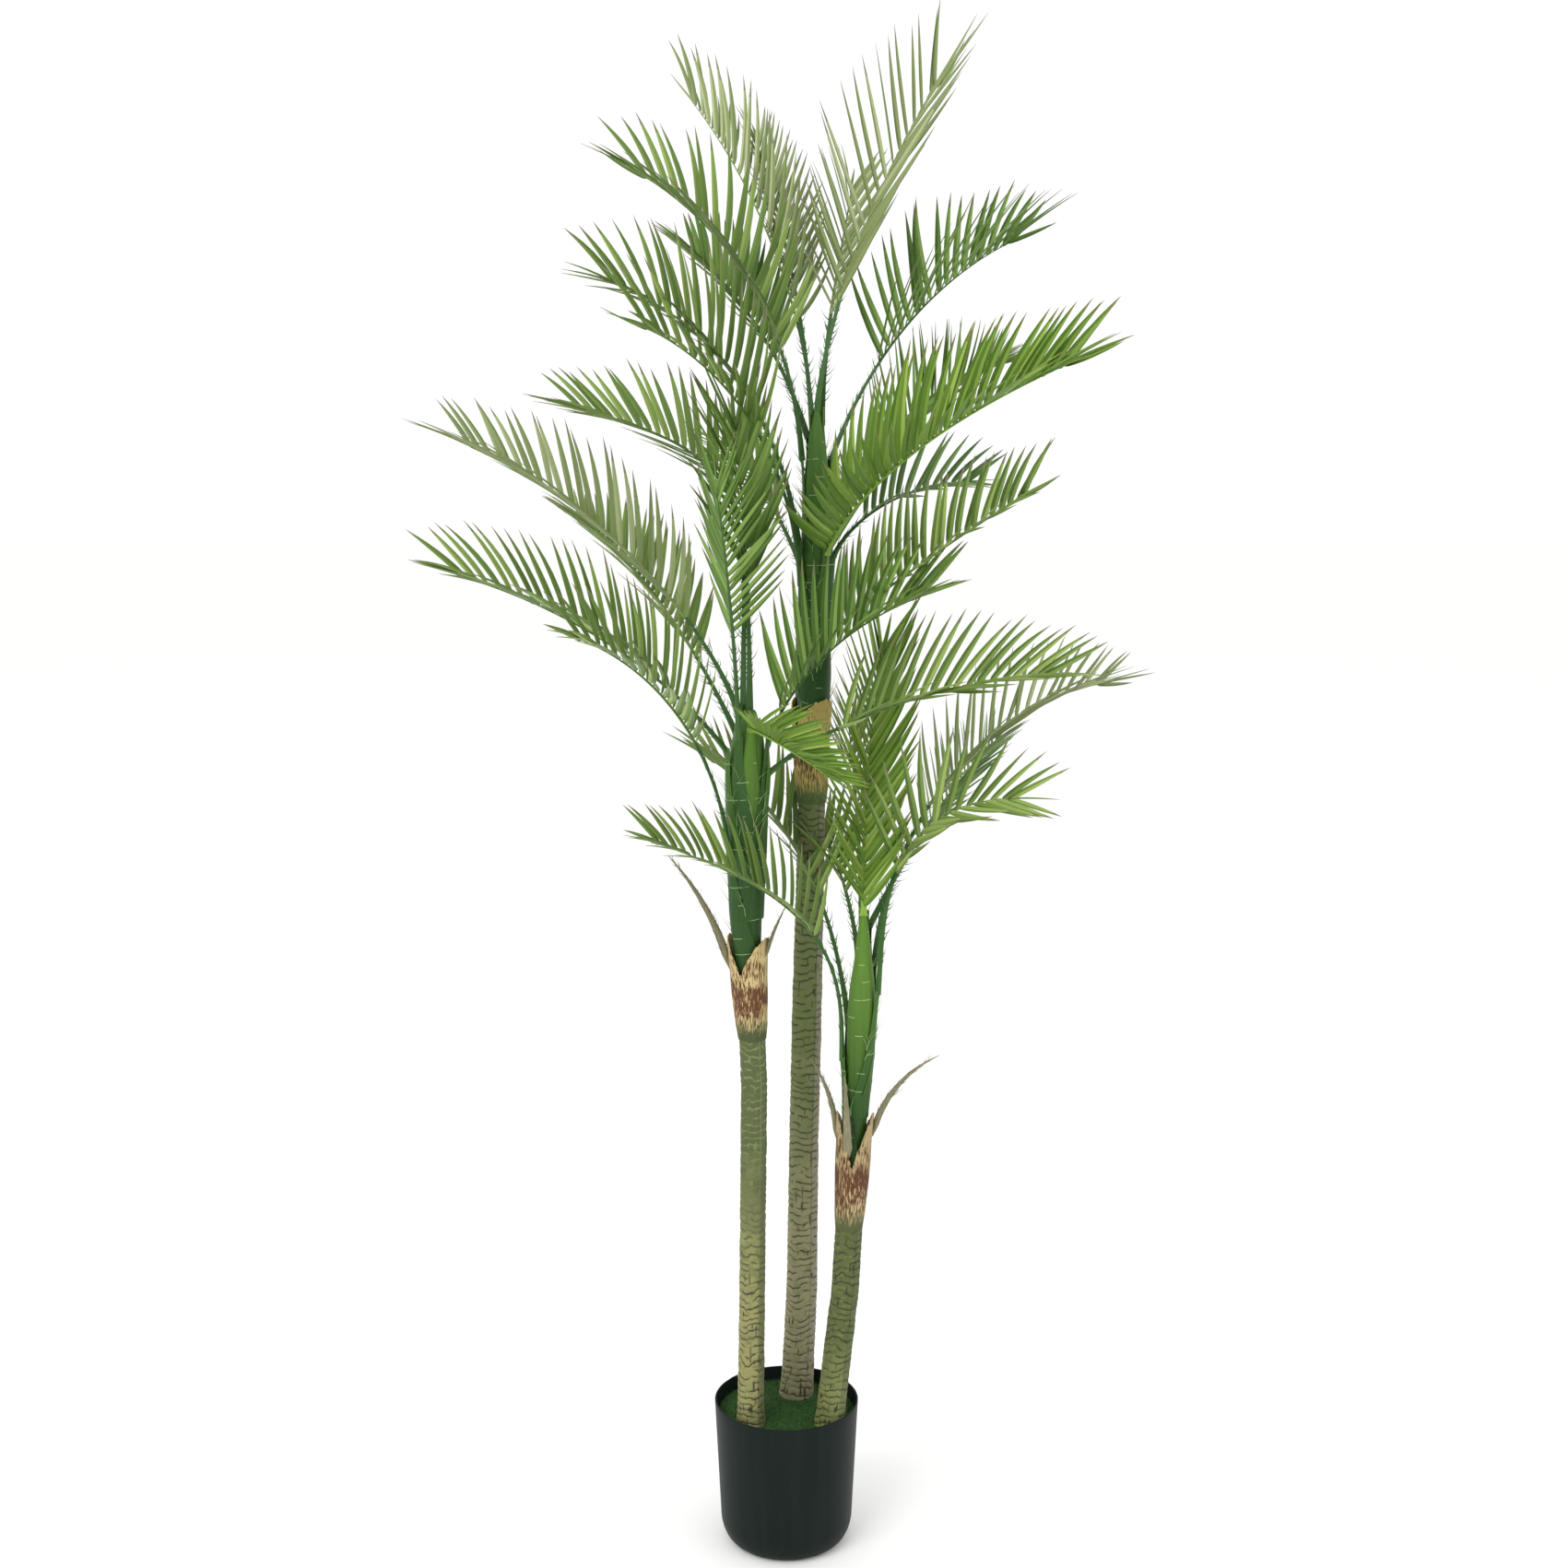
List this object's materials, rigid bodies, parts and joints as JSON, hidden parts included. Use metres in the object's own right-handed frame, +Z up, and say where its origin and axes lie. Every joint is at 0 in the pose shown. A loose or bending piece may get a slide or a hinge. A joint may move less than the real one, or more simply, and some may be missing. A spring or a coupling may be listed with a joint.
{
  "type": "artificial date palm in a pot",
  "caption": "Artificial date palm with three stems of arching feather fronds rising from a plain round pot, for standing on a floor.",
  "frame": {"origin": "middle of the pot's flat underside, on the floor it stands on", "axes": "+Z up along the stems, +X to the right and +Y away as the plant is seen from its front"},
  "size_m": [0.9219, 0.6872, 1.8372],
  "materials": {
    "pot": "moulded polypropylene, black, satin",
    "filling": "cast mortar, rough",
    "mat": "green fibre mat, matt",
    "bark": "moulded bark relief, painted olive, matt",
    "husk": "printed dry sheath, cream with brown streaks, matt",
    "sheath": "moulded green sheath, satin",
    "dry_leaf": "dry strip, beige, matt",
    "leaf_pale": "pale olive leaflets, satin",
    "leaf_bright": "bright green leaflets, satin",
    "leaf_mid": "mid green leaflets, satin",
    "leaf_deep": "deep green leaflets, satin",
    "leaf_grey": "grey-green leaflets, satin"
  },
  "bodies": {
    "root": {"crownshaft_left": "sheath", "crownshaft_middle": "sheath", "crownshaft_right": "sheath", "dry_tip_left_long": "dry_leaf", "dry_tip_left_short": "dry_leaf", "dry_tip_right_broad": "dry_leaf", "dry_tip_right_long": "dry_leaf", "dry_tip_right_thin": "dry_leaf", "frond_left_01": "leaf_deep", "frond_left_02": "leaf_mid", "frond_left_03": "leaf_pale", "frond_left_04": "leaf_mid", "frond_left_05": "leaf_mid", "frond_left_06": "leaf_mid", "frond_left_07": "leaf_deep", "frond_left_08": "leaf_deep", "frond_left_09": "leaf_bright", "frond_left_10": "leaf_mid", "frond_middle_01": "leaf_pale", "frond_middle_02": "leaf_mid", "frond_middle_03": "leaf_deep", "frond_middle_04": "leaf_mid", "frond_middle_05": "leaf_mid", "frond_middle_06": "leaf_pale", "frond_middle_07": "leaf_pale", "frond_middle_08": "leaf_deep", "frond_middle_09": "leaf_bright", "frond_middle_10": "leaf_deep", "frond_middle_11": "leaf_grey", "frond_middle_12": "leaf_mid", "frond_middle_13": "leaf_pale", "frond_middle_14": "leaf_mid", "frond_middle_15": "leaf_mid", "frond_right_01": "leaf_pale", "frond_right_02": "leaf_grey", "frond_right_03": "leaf_mid", "frond_right_04": "leaf_bright", "frond_right_05": "leaf_mid", "frond_right_06": "leaf_mid", "frond_right_07": "leaf_pale", "frond_right_08": "leaf_mid", "green_mat": "mat", "husk_left": "husk", "husk_middle": "husk", "husk_right": "husk", "pot": "pot", "pot_filling": "filling", "trunk_left": "bark", "trunk_middle": "bark", "trunk_right": "bark"}
  },
  "joints": []
}
